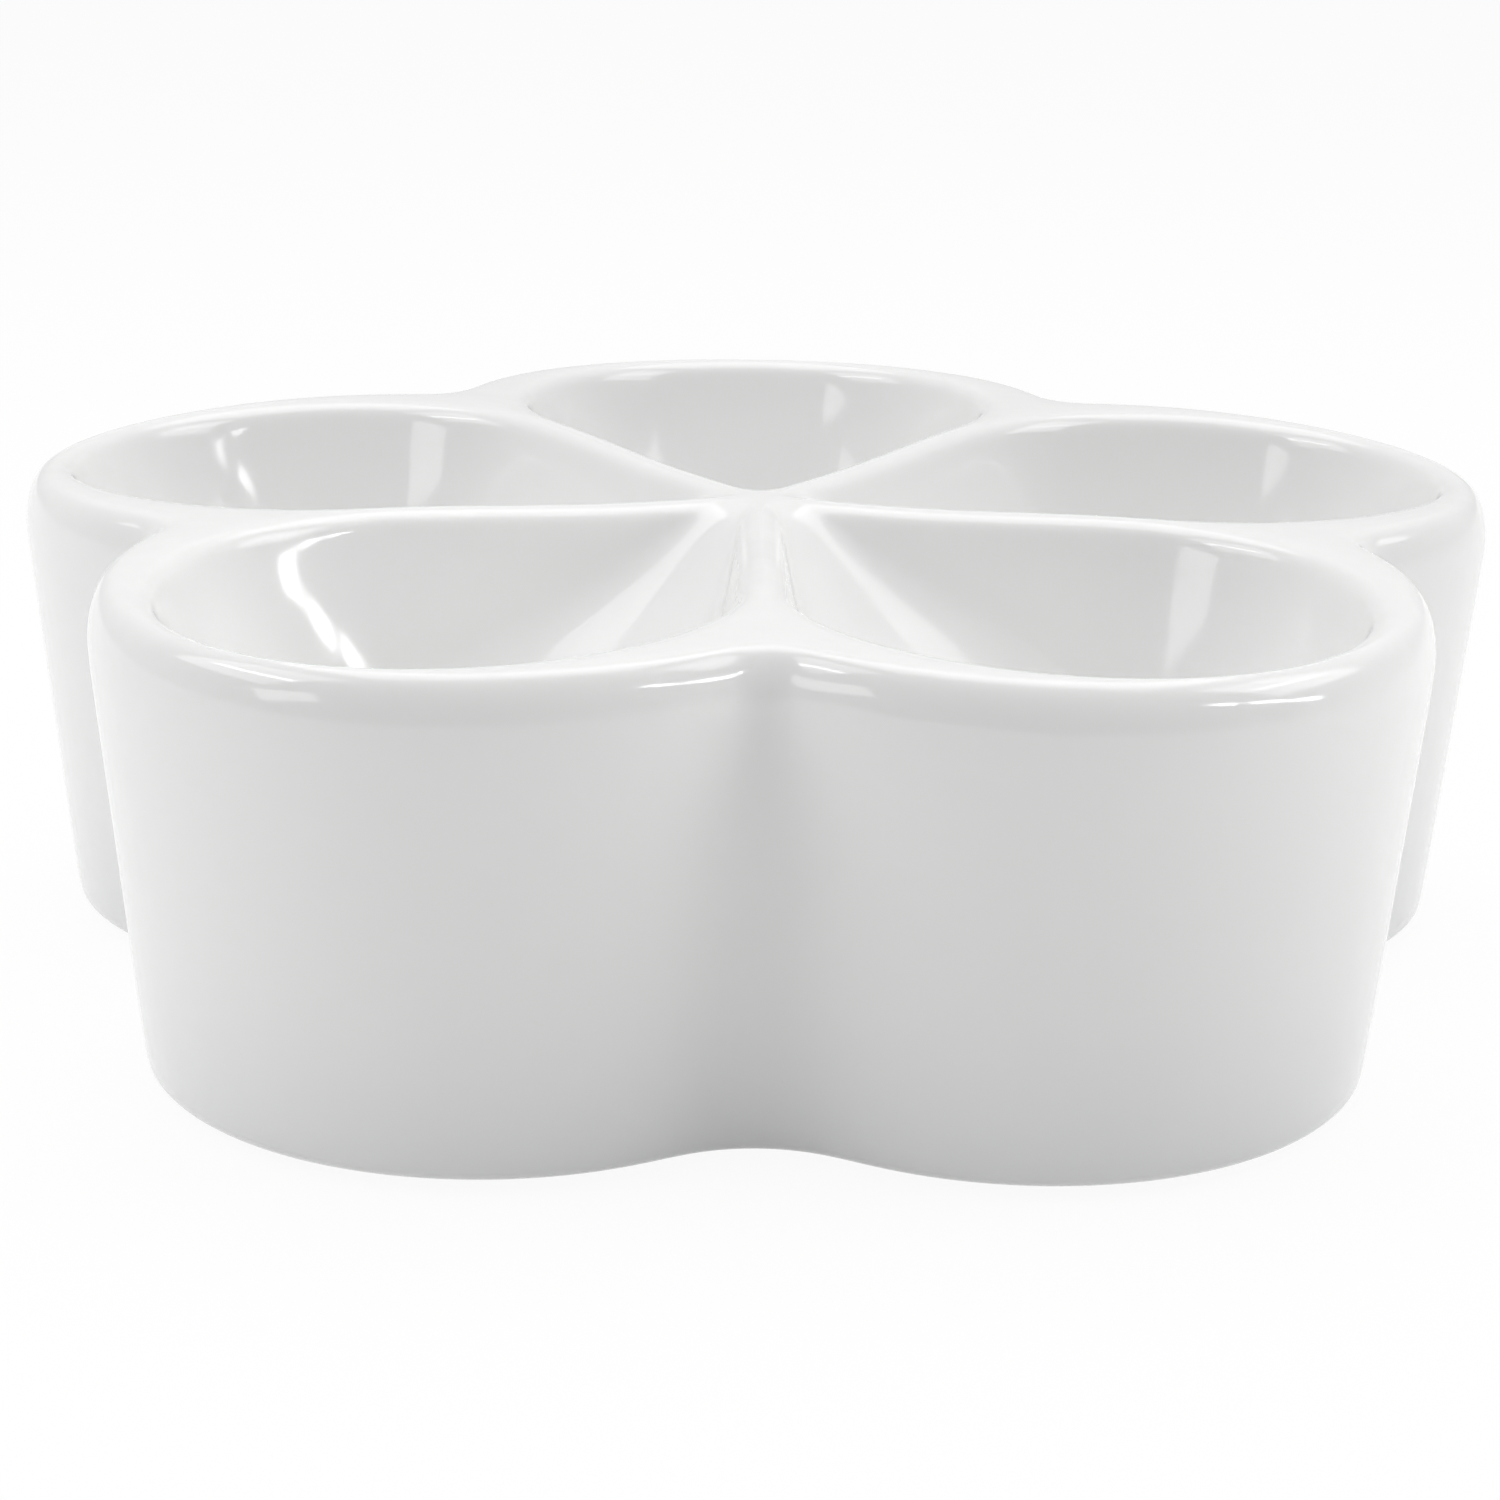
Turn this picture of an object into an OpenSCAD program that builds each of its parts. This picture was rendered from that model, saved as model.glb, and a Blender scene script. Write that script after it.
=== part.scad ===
// Divided serving bowl: five petal compartments around a centre post, in one fired body.
// Units are millimetres. Z is up and the origin is the centre of the foot, on the table.

/* [Flower plan] */
// Distance from the bowl's centre to the centre of a petal's outer arc
petal_offset = 64; // [60.5:0.5:67.5]
// Radius of a petal's outer face at its widest
petal_r = 55; // [52:0.5:58.5]
// Radius of the hollow between two petals, at the rim
notch_r = 9; // [6:0.5:14]
// Wall thickness at the tip of a petal, at the rim
wall_t = 7; // [6:0.5:10]
// Thickness of a divider at its thinnest, at the rim
divider_t = 7; // [6:0.5:10]
// Radius of the centre post at the rim
post_r = 9.5; // [8:0.5:13]

/* [Height and draft] */
// Overall height, from the table to the rim
bowl_h = 72; // [62:1:85]
// Lean of the outer face from vertical, in degrees
outer_draft = 5.2; // [2:0.2:7]
// Lean of the inner faces from vertical, in degrees
inner_draft = 8; // [4:0.5:10]
// Thickness of the floor
floor_t = 7; // [5:0.5:10]
// Depth at which a compartment's corner at the post has become as round as its other end
corner_depth = 29; // [24:1:32]

/* [Rounding] */
// Width of the oval rounding on the rim's outer side
rim_outer_w = 3.8; // [2.5:0.1:4.4]
// Height of the same rounding
rim_outer_h = 8.5; // [4:0.5:12]
// Rounding of the rim on its inner side, and of the divider tops
rim_inner_round = 3.2; // [2:0.1:3.4]
// Fillet between the inner walls and the floor
floor_fillet = 22; // [12:1:24]
// Rounding of the lower outer edge
base_round = 2.5; // [2:0.5:6]

/* [Foot] */
// Height of the foot ring below the body
foot_h = 1.5; // [1:0.5:4]
// Outer radius of the foot ring
foot_r = 80; // [70:1:83]
// Width of the foot ring
foot_w = 7; // [5:0.5:10]

/* [Hidden] */
$fn = 96;

glaze = [0.95, 0.95, 0.94];
bare_clay = [0.88, 0.86, 0.82];

// Petal 1 lies to the front right, and the rest follow counter-clockwise
petal_count = 5;
petal_step = 360 / petal_count;
half_step = petal_step / 2;
first_petal = -54;

// Points in a quarter of a rounded edge
arc_steps = 8;
// Share of a rounding's radius that the flat land beside it cuts away
crown_share = 0.03;
// How far a cut runs past the solid that it cuts
overrun = foot_h;

// Levels
body_z = foot_h;
floor_z = body_z + floor_t;

// The round end of a compartment is tangent to both dividers and leaves wall_t at the tip
tip_r = petal_offset + petal_r;
cup_offset = (tip_r - wall_t + divider_t / 2) / (1 + sin(half_step));

// Centres of the round end and of the petal's outer arc, with a divider along X
cup_x = cup_offset * cos(half_step);
cup_y = cup_offset * sin(half_step);
petal_x = petal_offset * cos(half_step);
petal_y = petal_offset * sin(half_step);

cup_r = cup_y - divider_t / 2;
// The hollow's axis lies on the divider's line, where its arc is tangent to both petals
notch_x = petal_x + sqrt(pow(petal_r + notch_r, 2) - pow(petal_y, 2));
// Half the angle of a petal wall, seen from the centre of its outer arc
wall_angle = atan2(notch_x * sin(half_step), notch_x * cos(half_step) - petal_offset);

// Points of an oval arc about c, with half width w and half height h, from angle a0 to angle a1
function oval_points(c, w, h, a0, a1) = [
    for (i = [0:arc_steps])
        let (a = a0 + (a1 - a0) * i / arc_steps) [c[0] + w * cos(a), c[1] + h * sin(a)]
];
function arc_points(c, r, a0, a1) = oval_points(c, r, r, a0, a1);
// Where the arc of a rounded edge meets the flat land beside it
land_angle = asin(1 - crown_share);

// The outer face, as [inset, z] from the foot to the rim. Inset grows towards the wall's inside.
rim_out_c = [rim_outer_w, bowl_h - rim_outer_h * (1 - crown_share)];
// Angle on the oval where the leaning face leaves it
rim_out_angle = atan(rim_outer_h / rim_outer_w * tan(outer_draft));
rim_out_low = [
    rim_out_c[0] - rim_outer_w * cos(rim_out_angle),
    rim_out_c[1] - rim_outer_h * sin(rim_out_angle)
];
base_c_z = body_z + base_round * (1 - crown_share);
base_c = [
    rim_out_low[0] + (rim_out_low[1] - base_c_z + base_round * sin(outer_draft)) * tan(outer_draft)
        + base_round * cos(outer_draft),
    base_c_z
];
function outer_face(base_angle, rim_angle) = concat(
    arc_points(base_c, base_round, 180 + base_angle, 180 + outer_draft),
    oval_points(rim_out_c, rim_outer_w, rim_outer_h, 180 + rim_out_angle, 180 - rim_angle)
);

// The inner face, as [inset, z] from the rim to the floor. Inset grows into the compartment.
rim_in_c = [-rim_inner_round, bowl_h - rim_inner_round * (1 - crown_share)];
rim_in_low = [
    rim_in_c[0] + rim_inner_round * cos(inner_draft),
    rim_in_c[1] + rim_inner_round * sin(inner_draft)
];
fillet_c_z = floor_z + floor_fillet;
fillet_c = [
    rim_in_low[0] + (rim_in_low[1] - fillet_c_z + floor_fillet * sin(inner_draft)) * tan(inner_draft)
        + floor_fillet * cos(inner_draft),
    fillet_c_z
];
function inner_face(rim_angle) = concat(
    arc_points(rim_in_c, rim_inner_round, rim_angle, inner_draft),
    arc_points(fillet_c, floor_fillet, 180 + inner_draft, 270)
);

// Radius of the flat of the floor, inside the fillet
flat_r = cup_r - fillet_c[0];

// How far a compartment's corner lies from the axis of its round end, at the rim and where it is fully round
corner_z = bowl_h - corner_depth;
corner_rim_reach = cup_offset - post_r + rim_inner_round;
corner_low_reach = cup_r - rim_in_low[0] - (rim_in_low[1] - corner_z) * tan(inner_draft);
corner_slope = (corner_rim_reach - corner_low_reach) / corner_depth;

// Turns its children to petal i, with the petal's axis along X
module at_petal(i) {
    rotate([0, 0, first_petal + petal_step * (i - 1)]) children();
}

// Turns its children to the divider between petals i and i + 1, with the divider along X
module at_divider(i) {
    rotate([0, 0, first_petal + petal_step * (i - 1) + half_step]) children();
}

// The space of a compartment's round end, about its own axis, with the floor cut out below it
module cup_space() {
    rotate_extrude() polygon(concat(
        [[0, bowl_h + overrun], [cup_r + rim_inner_round, bowl_h + overrun]],
        [for (p = inner_face(90)) [cup_r - p[0], p[1]]],
        [[flat_r, body_z - overrun], [0, body_z - overrun]]
    ));
}

// The space of the hollow between two petals, about its own axis
module notch_space() {
    rotate_extrude() polygon(concat(
        [[0, body_z - overrun], [notch_r + base_c[0], body_z - overrun]],
        [for (p = outer_face(90, 90)) [notch_r + p[0], p[1]]],
        [[notch_r + rim_outer_w, bowl_h + overrun], [0, bowl_h + overrun]]
    ));
}

// A petal's outer wall, with the fillet and the strip of floor at its foot
module petal_wall(i) {
    color(glaze) at_petal(i) difference() {
        translate([petal_offset, 0, 0])
            rotate_extrude(angle = 2 * wall_angle, start = -wall_angle)
                polygon(concat(
                    [[0, body_z]],
                    [for (p = outer_face(land_angle, land_angle)) [petal_r - p[0], p[1]]],
                    [[0, bowl_h]]
                ));
        translate([cup_offset, 0, 0]) cup_space();
    }
}

// The space beside a divider's straight stretch, on its +Y side
module lane_space() {
    rotate([90, 0, 90]) linear_extrude(cup_x) polygon(concat(
        [[cup_y, bowl_h + overrun], [divider_t / 2 - rim_inner_round, bowl_h + overrun]],
        [for (p = inner_face(90)) [divider_t / 2 + p[0], p[1]]],
        [[cup_y, floor_z]]
    ));
}

// The cone that bounds this space towards the post, about the axis of the round end
module corner_space() {
    translate([cup_x, cup_y, corner_z - overrun]) cylinder(
        h = corner_depth + 2 * overrun,
        r1 = corner_low_reach - corner_slope * overrun,
        r2 = corner_rim_reach + corner_slope * overrun
    );
}

// A divider between two compartments, from the centre post to the hollow in the outline
module divider(i) {
    color(glaze) at_divider(i) difference() {
        translate([0, 0, body_z]) linear_extrude(bowl_h - body_z)
            polygon([[0, 0], [petal_x, -petal_y], [notch_x, 0], [petal_x, petal_y]]);
        translate([notch_x, 0, 0]) notch_space();
        for (side = [0, 1]) mirror([0, side, 0]) {
            translate([cup_x, cup_y, 0]) cup_space();
            intersection() {
                lane_space();
                corner_space();
            }
        }
        post_shape();
    }
}

// The flat of a compartment's floor
module petal_floor(i) {
    color(glaze) at_petal(i) translate([cup_offset, 0, body_z]) cylinder(h = floor_t, r = flat_r);
}

// The post where the dividers meet
module post_shape() {
    top_c = [post_r - rim_inner_round, rim_in_c[1]];
    rotate_extrude() polygon(concat(
        [[0, body_z], [0, bowl_h]],
        arc_points(top_c, rim_inner_round, land_angle, 0),
        [[post_r, body_z]]
    ));
}

module centre_post() {
    color(glaze) post_shape();
}

// The unglazed ring that the bowl stands on
module foot_ring() {
    foot_round = foot_h / 2;
    color(bare_clay) rotate_extrude() polygon(concat(
        [[foot_r - foot_w, foot_h]],
        arc_points([foot_r - foot_w + foot_round, foot_round], foot_round, 180, 270),
        arc_points([foot_r - foot_round, foot_round], foot_round, 270, 360),
        [[foot_r, foot_h]]
    ));
}

petal_wall(1);  // petal_wall_1
petal_wall(2);  // petal_wall_2
petal_wall(3);  // petal_wall_3
petal_wall(4);  // petal_wall_4
petal_wall(5);  // petal_wall_5
divider(1);  // divider_1
divider(2);  // divider_2
divider(3);  // divider_3
divider(4);  // divider_4
divider(5);  // divider_5
petal_floor(1);  // petal_floor_1
petal_floor(2);  // petal_floor_2
petal_floor(3);  // petal_floor_3
petal_floor(4);  // petal_floor_4
petal_floor(5);  // petal_floor_5
centre_post();
foot_ring();
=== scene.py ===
"""Divided serving bowl: a flower of five deep petal compartments in white glazed porcelain."""
import math

import bmesh
import bpy
from mathutils import Matrix, Vector


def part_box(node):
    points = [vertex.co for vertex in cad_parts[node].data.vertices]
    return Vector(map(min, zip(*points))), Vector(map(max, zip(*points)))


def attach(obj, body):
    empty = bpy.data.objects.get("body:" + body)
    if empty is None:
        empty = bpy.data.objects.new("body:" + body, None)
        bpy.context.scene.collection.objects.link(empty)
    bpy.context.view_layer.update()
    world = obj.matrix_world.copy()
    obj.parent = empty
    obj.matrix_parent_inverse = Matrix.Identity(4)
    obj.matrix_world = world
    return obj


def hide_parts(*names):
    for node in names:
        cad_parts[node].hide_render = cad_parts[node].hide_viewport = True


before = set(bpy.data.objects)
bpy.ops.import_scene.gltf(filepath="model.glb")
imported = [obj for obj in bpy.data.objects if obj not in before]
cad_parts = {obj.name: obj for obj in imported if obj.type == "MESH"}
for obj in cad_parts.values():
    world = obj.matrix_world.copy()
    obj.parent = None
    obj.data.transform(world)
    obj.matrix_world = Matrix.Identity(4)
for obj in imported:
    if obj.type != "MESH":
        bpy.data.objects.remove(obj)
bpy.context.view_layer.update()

# Lengths are in metres and angles in radians, apart from the lamps' angles, which are in degrees
PETALS = 5
PETAL_STEP = math.tau / PETALS
HALF_STEP = PETAL_STEP / 2
FIRST_PETAL = math.radians(-54)

# Outer sizes, from the frame
TIP_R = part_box("petal_wall_3")[1].y
RIM_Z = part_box("petal_wall_3")[1].z
BODY_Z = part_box("petal_wall_3")[0].z
FLOOR_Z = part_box("petal_floor_3")[1].z
FOOT_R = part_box("foot_ring")[1].x

# The plan at the rim. The radius of the hollow between two petals grows down to the underside.
PETAL_R = 0.055
NOTCH_R = 0.0062
NOTCH_GROWTH = 0.009
WALL_T = 0.007
DIVIDER_T = 0.007

# The section of a wall. The inner face bows from one lean to the other between the rim and BOW_Z.
OUTER_LEAN = math.radians(5.2)
INNER_LEAN = math.radians(12)
LOW_LEAN = math.radians(24)
BOW_Z = 0.045
RIM_OUTER_W = 0.0038
RIM_OUTER_H = 0.0085
RIM_INNER_ROUND = 0.0032
BASE_ROUND = 0.0025
FLOOR_FILLET = 0.018

# The underside, raised a little between these shares of the foot ring's inner radius
FOOT_W = 0.007
DOME_RISE = 0.001
DOME_SHARES = (0.9, 0.3)

# The centre of the petal's outer arc
PETAL_OFFSET = TIP_R - PETAL_R

# The round end of a compartment, tangent to both dividers
CUP_OFFSET = (TIP_R - WALL_T + DIVIDER_T / 2) / (1 + math.sin(HALF_STEP))
CUP_R = CUP_OFFSET * math.sin(HALF_STEP) - DIVIDER_T / 2
CUP_ANGLE = math.pi / 2 + HALF_STEP

# Radius of the compartment's corner at the post, at the rim, and its growth for each metre of depth
CORNER_R = 0.0042
CORNER_GROWTH = 1.06

# How far the rim dips below its highest level, at the petal tips and at the post
TIP_DIP = 0.0013
HUB_DIP = 0.0015
# Distances from the middle between which the one dip passes into the other
HUB_REACH = 0.020
TIP_REACH = 0.060
# The height at which the body begins to follow the dip
DIP_STARTS_Z = 0.035

# Segments of the half petal's outlines. Both run from the tip to the post.
PETAL_STEPS = 10
NOTCH_STEPS = 3
WEB_STEPS = 4
RUN_STEPS = 6
CORNER_STEPS = 3
CUP_STEPS = PETAL_STEPS + NOTCH_STEPS + WEB_STEPS

# Segments of the section, from the underside up to the rim and down to a compartment's floor
BASE_STEPS = 3
WALL_STEPS = 4
RIM_OUTER_STEPS = 5
RIM_INNER_STEPS = 3
BOW_STEPS = 4
LOW_WALL_STEPS = 3
FILLET_STEPS = 4

# Gaps that are closed when the petal is mirrored and when the petals meet
MIRROR_GAP = 1e-6
SEAM_GAP = 1e-5

# Levels of subdivision that smooth the glazed body
ROUNDING_LEVELS = 2


def smooth(low, high, value):
    """0 below low, 1 above high, and an even swell between them."""
    share = min(max((value - low) / (high - low), 0), 1)
    return share * share * (3 - 2 * share)


def curve_levels(centre, width, height, start, end, steps):
    """Levels (inset, z) along an oval arc of a section."""
    angles = [start + (end - start) * i / steps for i in range(steps + 1)]
    return [(centre[0] + width * math.cos(a), centre[1] + height * math.sin(a)) for a in angles]


def straight_levels(low, high, steps):
    """Levels (inset, z) that part a straight of a section, without its two ends."""
    shares = [i / steps for i in range(1, steps)]
    return [(low[0] + (high[0] - low[0]) * s, low[1] + (high[1] - low[1]) * s) for s in shares]


def outer_levels():
    """The outer face from the underside to the top of the rim. The inset grows inwards."""
    rim_centre = (RIM_OUTER_W, RIM_Z - RIM_OUTER_H)
    rim_side = math.pi + math.atan(RIM_OUTER_H / RIM_OUTER_W * math.tan(OUTER_LEAN))
    rim = curve_levels(rim_centre, RIM_OUTER_W, RIM_OUTER_H, rim_side, math.pi / 2, RIM_OUTER_STEPS)
    drop = rim[0][1] - BODY_Z - BASE_ROUND * (1 - math.sin(OUTER_LEAN))
    base_inset = rim[0][0] + drop * math.tan(OUTER_LEAN) + BASE_ROUND * math.cos(OUTER_LEAN)
    base_centre = (base_inset, BODY_Z + BASE_ROUND)
    base_side = math.pi + OUTER_LEAN
    base = curve_levels(base_centre, BASE_ROUND, BASE_ROUND, 1.5 * math.pi, base_side, BASE_STEPS)
    return base + straight_levels(base[-1], rim[0], WALL_STEPS) + rim


def inner_levels():
    """The inner face from the top of the rim to the floor. The inset grows into the compartment."""
    rim_centre = (-RIM_INNER_ROUND, RIM_Z - RIM_INNER_ROUND)
    rim = curve_levels(
        rim_centre, RIM_INNER_ROUND, RIM_INNER_ROUND, math.pi / 2, INNER_LEAN, RIM_INNER_STEPS,
    )
    rim_low = rim[-1]
    bow_r = (rim_low[1] - BOW_Z) / (math.sin(LOW_LEAN) - math.sin(INNER_LEAN))
    bow_centre = (rim_low[0] + bow_r * math.cos(INNER_LEAN), rim_low[1] + bow_r * math.sin(INNER_LEAN))
    bow_end = math.pi + LOW_LEAN
    bow = curve_levels(bow_centre, bow_r, bow_r, math.pi + INNER_LEAN, bow_end, BOW_STEPS)
    drop = BOW_Z - FLOOR_Z - FLOOR_FILLET * (1 - math.sin(LOW_LEAN))
    fillet_inset = bow[-1][0] + drop * math.tan(LOW_LEAN) + FLOOR_FILLET * math.cos(LOW_LEAN)
    centre = (fillet_inset, FLOOR_Z + FLOOR_FILLET)
    fillet = curve_levels(centre, FLOOR_FILLET, FLOOR_FILLET, bow_end, 1.5 * math.pi, FILLET_STEPS)
    return rim + bow[1:] + straight_levels(bow[-1], fillet[0], LOW_WALL_STEPS) + fillet


def corner_round(inset, z):
    """Radius of the compartment's corner at the post, at a level."""
    return min(CORNER_R + CORNER_GROWTH * (RIM_Z - z), CUP_R - inset)


def run_arc(bm, vert, centre, angle, steps):
    """Runs an arc of edges on from a vertex, round an upright axis, and returns its last vertex."""
    made = bmesh.ops.spin(bm, geom=[vert], cent=centre, axis=(0, 0, 1), angle=angle, steps=steps)
    return [item for item in made["geom_last"] if isinstance(item, bmesh.types.BMVert)][0]


def run_line(bm, vert, end, steps):
    """Runs a straight of edges on from a vertex, and returns its last vertex."""
    stride = (Vector(end) - vert.co) / steps
    for _ in range(steps):
        vert = bmesh.ops.extrude_vert_indiv(bm, verts=[vert])["verts"][0]
        bmesh.ops.translate(bm, verts=[vert], vec=stride)
    return vert


def added_edges(bm, known):
    """The edges of a bmesh that aren't among the known ones."""
    return [edge for edge in bm.edges if edge not in known]


def outer_outline(bm, inset, z):
    """Half a petal's outer outline at a level, from the tip to the hollow, and its last vertex."""
    notch_r = NOTCH_R + inset + NOTCH_GROWTH * (RIM_Z - z) / (RIM_Z - BODY_Z)
    between = PETAL_R - inset + notch_r
    side = PETAL_OFFSET * math.sin(HALF_STEP)
    notch_offset = PETAL_OFFSET * math.cos(HALF_STEP) + math.sqrt(between ** 2 - side ** 2)
    notch = Vector((notch_offset * math.cos(HALF_STEP), notch_offset * math.sin(HALF_STEP), z))
    wall_angle = math.atan2(notch.y, notch.x - PETAL_OFFSET)
    known = set(bm.edges)
    tip = bm.verts.new((TIP_R - inset, 0, z))
    turn = run_arc(bm, tip, (PETAL_OFFSET, 0, z), wall_angle, PETAL_STEPS)
    hollow = run_arc(bm, turn, notch, -math.asin(side / between), NOTCH_STEPS)
    return added_edges(bm, known), hollow


def compartment_outline(bm, inset, z):
    """Half a compartment's outline at a level, from the tip to the corner at the post."""
    corner = corner_round(inset, z)
    corner_offset = (DIVIDER_T / 2 + inset + corner) / math.sin(HALF_STEP)
    towards_post = Vector((-math.cos(HALF_STEP), -math.sin(HALF_STEP), 0))
    run_length = (CUP_OFFSET - corner_offset) * math.cos(HALF_STEP)
    known = set(bm.edges)
    tip = bm.verts.new((CUP_OFFSET + CUP_R - inset, 0, z))
    end = run_arc(bm, tip, (CUP_OFFSET, 0, z), CUP_ANGLE, CUP_STEPS)
    end = run_line(bm, end, end.co + towards_post * run_length, RUN_STEPS)
    run_arc(bm, end, (corner_offset, 0, z), math.pi / 2 - HALF_STEP, CORNER_STEPS)
    return added_edges(bm, known)


def circle_outline(bm, radius, z):
    """The arc of a circle about the bowl's middle, under half a petal."""
    known = set(bm.edges)
    run_arc(bm, bm.verts.new((radius, 0, z)), (0, 0, z), HALF_STEP, PETAL_STEPS + NOTCH_STEPS)
    return added_edges(bm, known)


def skin(bm, outlines):
    """Joins each outline to the next with a band of faces."""
    for one, other in zip(outlines, outlines[1:]):
        bmesh.ops.bridge_loops(bm, edges=one + other)


def rim_dip(place):
    """How far the rim lies below its highest level, over a point of the plan."""
    outward = smooth(HUB_REACH, TIP_REACH, math.hypot(place.x, place.y))
    tip_share = (1 + math.cos(PETALS * math.atan2(place.y, place.x))) / 2
    return HUB_DIP * (1 - outward) + TIP_DIP * tip_share * outward


def half_petal(bm):
    """Half a petal of the glazed body, on the +Y side of the petal's axis, which is +X."""
    outside = [outer_outline(bm, inset, z) for inset, z in outer_levels()]
    rim_edges, hollow = outside[-1]
    skin(bm, [edges for edges, _ in outside])

    foot_inner_r = FOOT_R - FOOT_W
    under = [outside[0][0], circle_outline(bm, FOOT_R, BODY_Z), circle_outline(bm, foot_inner_r, BODY_Z)]
    under += [circle_outline(bm, foot_inner_r * share, BODY_Z + DOME_RISE) for share in DOME_SHARES]
    skin(bm, under)

    known = set(bm.edges)
    run_line(bm, hollow, (0, 0, hollow.co.z), WEB_STEPS + RUN_STEPS + CORNER_STEPS)
    crest = rim_edges + added_edges(bm, known)
    inside = [compartment_outline(bm, inset, z) for inset, z in inner_levels()]
    skin(bm, [crest] + inside)

    for vert in bm.verts:
        vert.co.z -= rim_dip(vert.co) * smooth(DIP_STARTS_Z, RIM_Z, vert.co.z)


def glazed_body():
    """The whole glazed body: five petals in one closed skin."""
    bm = bmesh.new()
    half_petal(bm)
    everything = bm.verts[:] + bm.edges[:] + bm.faces[:]
    bmesh.ops.mirror(bm, geom=everything, matrix=Matrix.Identity(4), merge_dist=MIRROR_GAP, axis="Y")
    bmesh.ops.rotate(bm, verts=bm.verts[:], cent=(0, 0, 0), matrix=Matrix.Rotation(FIRST_PETAL, 3, "Z"))
    everything = bm.verts[:] + bm.edges[:] + bm.faces[:]
    bmesh.ops.spin(
        bm, geom=everything, cent=(0, 0, 0), axis=(0, 0, 1), angle=PETAL_STEP * (PETALS - 1),
        steps=PETALS - 1, use_duplicate=True,
    )
    bmesh.ops.remove_doubles(bm, verts=bm.verts[:], dist=SEAM_GAP)
    open_edges = [edge for edge in bm.edges if edge.is_boundary]
    bmesh.ops.holes_fill(bm, edges=open_edges, sides=0)
    bmesh.ops.recalc_face_normals(bm, faces=bm.faces[:])
    return finished_piece(bm, "glazed_body")


def finished_piece(bm, name):
    """Turns a bmesh into a smooth, subdivided object."""
    mesh = bpy.data.meshes.new(name)
    bm.to_mesh(mesh)
    bm.free()
    mesh.shade_smooth()
    piece = bpy.data.objects.new(name, mesh)
    bpy.context.scene.collection.objects.link(piece)
    rounding = piece.modifiers.new("rounding", "SUBSURF")
    rounding.levels = ROUNDING_LEVELS
    rounding.render_levels = ROUNDING_LEVELS
    return piece


class Wire:
    """A node's output that Python's operators join to Math nodes."""

    def __init__(self, finish, socket):
        self.finish = finish
        self.socket = socket

    def joined(self, operation, first, second):
        """The output of a Math node that takes two wires or numbers."""
        return self.finish.node("ShaderNodeMath", {"operation": operation}, {0: first, 1: second})

    def __add__(self, other):
        return self.joined("ADD", self, other)

    __radd__ = __add__

    def __mul__(self, other):
        return self.joined("MULTIPLY", self, other)

    __rmul__ = __mul__


class Finish:
    """The nodes of a material, or of the world, under construction."""

    def __init__(self, owner):
        self.owner = owner
        self.owner.use_nodes = True
        self.tree = self.owner.node_tree
        self.tree.nodes.clear()

    def node(self, kind, settings, sockets, output=0):
        """Adds a node, with its settings first and then the values or wires of its sockets."""
        made = self.tree.nodes.new(kind)
        for name, value in settings.items():
            setattr(made, name, value)
        for name, value in sockets.items():
            if isinstance(value, Wire):
                self.tree.links.new(value.socket, made.inputs[name])
            else:
                made.inputs[name].default_value = value
        return Wire(self, made.outputs[output]) if made.outputs else None

    def place(self):
        """The point of the piece, in metres."""
        return self.node("ShaderNodeTexCoord", {}, {}, "Object")

    def noise(self, place, scale, detail=2.0):
        """Cloudy noise, finer as the scale grows."""
        sockets = {"Vector": place, "Scale": scale, "Detail": detail}
        return self.node("ShaderNodeTexNoise", {}, sockets, "Fac")

    def fade(self, value, low, high, start=0.0, end=1.0):
        """Goes smoothly from start, where value is low, to end, where it is high."""
        sockets = {"Value": value, "From Min": low, "From Max": high, "To Min": start, "To Max": end}
        return self.node("ShaderNodeMapRange", {"interpolation_type": "SMOOTHSTEP"}, sockets)

    def blend(self, share, one, other):
        """A colour between two others."""
        sockets = {"Factor": share, "A": one, "B": other}
        return self.node("ShaderNodeMix", {"data_type": "RGBA"}, sockets, "Result")

    def relief(self, height, strength, depth, below=None):
        """Fine relief of a depth in metres, on top of another where one is given."""
        sockets = {"Height": height, "Strength": strength, "Distance": depth}
        if below:
            sockets["Normal"] = below
        return self.node("ShaderNodeBump", {}, sockets, "Normal")

    def surface(self, shader):
        """The material, once a shader gives its surface."""
        self.node("ShaderNodeOutputMaterial", {}, {"Surface": shader})
        return self.owner


def colour(red, green, blue):
    """An opaque colour."""
    return (red, green, blue, 1.0)


def glaze():
    """Clear gloss glaze over white porcelain, a little uneven, and pooled towards the foot."""
    pool_top = 0.030
    pool_bottom = 0.006
    finish = Finish(bpy.data.materials.new("white_glaze"))
    place = finish.place()
    height = finish.node("ShaderNodeSeparateXYZ", {}, {"Vector": place}, "Z")
    cloud = finish.noise(place, 28.0, 3.0)
    pooled = finish.fade(height, pool_top, pool_bottom) * 0.6 + cloud * 0.4
    tint = finish.blend(pooled, colour(0.90, 0.90, 0.895), colour(0.855, 0.86, 0.86))
    ripple = finish.noise(place, 55.0)
    peel = finish.noise(place, 700.0)
    waves = finish.relief(ripple, 0.25, 0.0006)
    surface = finish.relief(peel, 0.15, 0.00003, waves)
    return finish.surface(finish.node("ShaderNodeBsdfPrincipled", {}, {
        "Base Color": tint,
        "Roughness": cloud * 0.05 + 0.07,
        "IOR": 1.5,
        "Coat Weight": 0.3,
        "Coat Roughness": 0.04,
        "Normal": surface,
    }))


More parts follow.
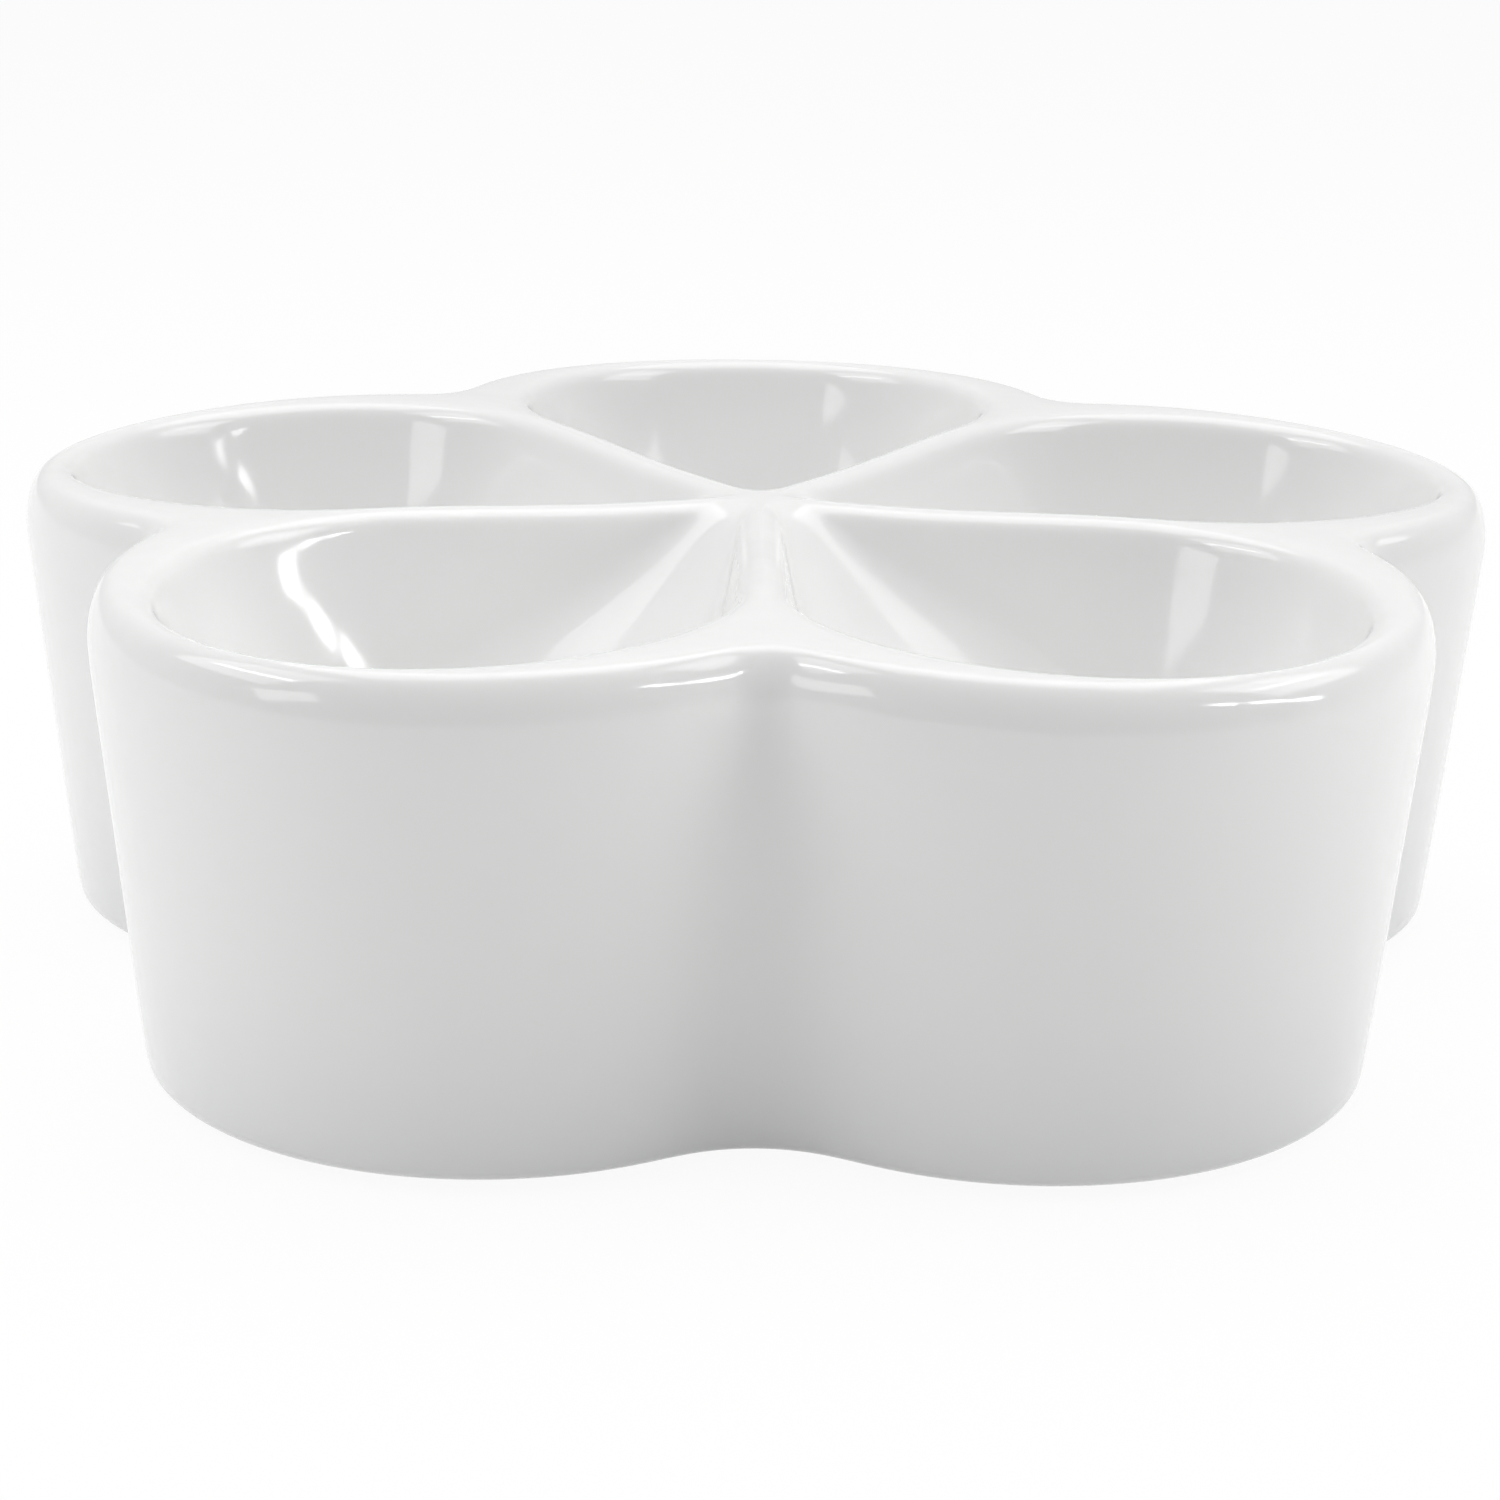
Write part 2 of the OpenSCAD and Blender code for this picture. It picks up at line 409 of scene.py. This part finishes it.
def bare_clay():
    """Unglazed porcelain, ground flat, with its fine grain."""
    finish = Finish(bpy.data.materials.new("bare_clay"))
    place = finish.place()
    grain = finish.noise(place, 900.0, 4.0)
    patches = finish.noise(place, 60.0, 3.0)
    tint = finish.blend(patches * 0.7 + grain * 0.3, colour(0.80, 0.77, 0.72), colour(0.70, 0.67, 0.62))
    surface = finish.relief(grain, 0.5, 0.0001)
    return finish.surface(finish.node("ShaderNodeBsdfPrincipled", {}, {
        "Base Color": tint,
        "Roughness": patches * 0.15 + 0.65,
        "Normal": surface,
    }))


def white_to_the_lens(name, tone, share):
    """A pale surface that the lens and its mirrors see nearly white, and that still takes shadows."""
    finish = Finish(bpy.data.materials.new(name))
    rays = ("Is Camera Ray", "Is Glossy Ray", "Is Transmission Ray")
    to_lens, to_gloss, to_glass = [finish.node("ShaderNodeLightPath", {}, {}, ray) for ray in rays]
    seen = (to_lens + to_gloss + to_glass) * share
    matt = finish.node("ShaderNodeBsdfDiffuse", {}, {"Color": colour(tone, tone, tone)})
    glow = finish.node("ShaderNodeEmission", {}, {"Color": colour(1, 1, 1), "Strength": 1.0})
    return finish.surface(finish.node("ShaderNodeMixShader", {}, {0: seen, 1: matt, 2: glow}))


def floor(radius=6.0):
    """A wide round pale floor, level with the foot."""
    bm = bmesh.new()
    bmesh.ops.create_circle(bm, cap_ends=True, segments=64, radius=radius)
    mesh = bpy.data.meshes.new("floor")
    bm.to_mesh(mesh)
    bm.free()
    piece = bpy.data.objects.new("floor", mesh)
    bpy.context.scene.collection.objects.link(piece)
    piece.data.materials.append(white_to_the_lens("pale_floor", 0.95, 0.93))


def facing(place, aim, roll):
    """Turns a lamp or a camera at a place towards the aim, and rolls it about its own axis."""
    return (aim - place).to_track_quat("-Z", "Y").to_matrix() @ Matrix.Rotation(roll, 3, "Z")


def softbox(
    name, azimuth, elevation, distance, size, brightness, tilt=0, aim=(0, 0, 0.05), spread=180, parts=1,
):
    """A rectangular lamp, in a row of parts that all face the aim. Azimuth 0 is +X.

    Brightness is that of the lamp's face, so a larger lamp also gives more light.
    """
    turn = math.radians(azimuth)
    rise = math.radians(elevation)
    roll = math.radians(tilt)
    across = distance * math.cos(rise)
    aim = Vector(aim)
    middle = aim + Vector((across * math.cos(turn), across * math.sin(turn), distance * math.sin(rise)))
    length = size[0] / parts
    stride = facing(middle, aim, roll) @ Vector((length, 0, 0))
    for part in range(parts):
        lamp = bpy.data.lights.new(name, "AREA")
        lamp.shape = "RECTANGLE"
        lamp.size = length
        lamp.size_y = size[1]
        lamp.energy = brightness * math.pi * length * size[1]
        lamp.spread = math.radians(spread)
        holder = bpy.data.objects.new(name, lamp)
        holder.location = middle + stride * (part - (parts - 1) / 2)
        holder.rotation_euler = facing(holder.location, aim, roll).to_euler()
        bpy.context.scene.collection.objects.link(holder)


def daylight(front, back, reach=0.6):
    """A soft surround, from one level at the front to one at the back, that the lens sees as white."""
    sky = Finish(bpy.data.worlds.new("surround"))
    direction = sky.node("ShaderNodeTexCoord", {}, {}, "Generated")
    towards_back = sky.node("ShaderNodeSeparateXYZ", {}, {"Vector": direction}, "Y")
    level = sky.fade(towards_back, -reach, reach, front, back)
    lit = sky.node("ShaderNodeBackground", {}, {"Color": colour(1, 1, 1), "Strength": level})
    seen = sky.node("ShaderNodeBackground", {}, {"Color": colour(1, 1, 1), "Strength": 1.0})
    to_lens = sky.node("ShaderNodeLightPath", {}, {}, "Is Camera Ray")
    mixed = sky.node("ShaderNodeMixShader", {}, {0: to_lens, 1: lit, 2: seen})
    sky.node("ShaderNodeOutputWorld", {}, {"Surface": mixed})
    bpy.context.scene.world = sky.owner


def camera(place, aim, roll, lens):
    """The camera at the photograph's viewpoint, with a lens of so many millimetres."""
    data = bpy.data.cameras.new("camera")
    data.sensor_width = 36
    data.lens = lens
    data.clip_start = 0.01
    holder = bpy.data.objects.new("camera", data)
    holder.location = place
    holder.rotation_euler = facing(Vector(place), Vector(aim), roll).to_euler()
    bpy.context.scene.collection.objects.link(holder)
    bpy.context.scene.camera = holder


# The glazed body stands for every CAD node but the foot ring
body = glazed_body()
body.data.materials.append(glaze())
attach(body, "root")
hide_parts(*[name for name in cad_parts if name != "foot_ring"])

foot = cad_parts["foot_ring"]
foot.data.materials.clear()
foot.data.materials.append(bare_clay())

floor()
daylight(front=0.285, back=0.70)

# A lamp overhead, a little behind the bowl's middle, and a broad one on each side
softbox("overhead", 90, 77, 1.0, (0.9, 0.9), 1.50)
softbox("left_high", -168, 40, 0.8, (0.45, 0.45), 1.8)
softbox("right_high", -8, 38, 0.8, (0.45, 0.45), 2.2)

# Small lamps for the short highlights
softbox("left_spark", -163, 38, 0.8, (0.34, 0.05), 6.0)
softbox("right_spark", -10, 38, 0.8, (0.30, 0.04), 4.0)
softbox("left_low", -142, 16, 0.7, (0.20, 0.12), 2.2, tilt=25)

# A strip for the long highlight on the wall of the front left compartment, which it faces
strip_aim = (-0.066, -0.042, 0.055)
softbox("right_strip", -25, 17, 0.65, (0.44, 0.032), 0.13, tilt=-28, aim=strip_aim, spread=16, parts=3)

eye = (-0.0064, -0.4756, 0.1780)
camera(eye, aim=(-0.0008, 0.0, 0.0296), roll=math.radians(0.93), lens=75.97)
bpy.context.scene.view_settings.view_transform = "Standard"
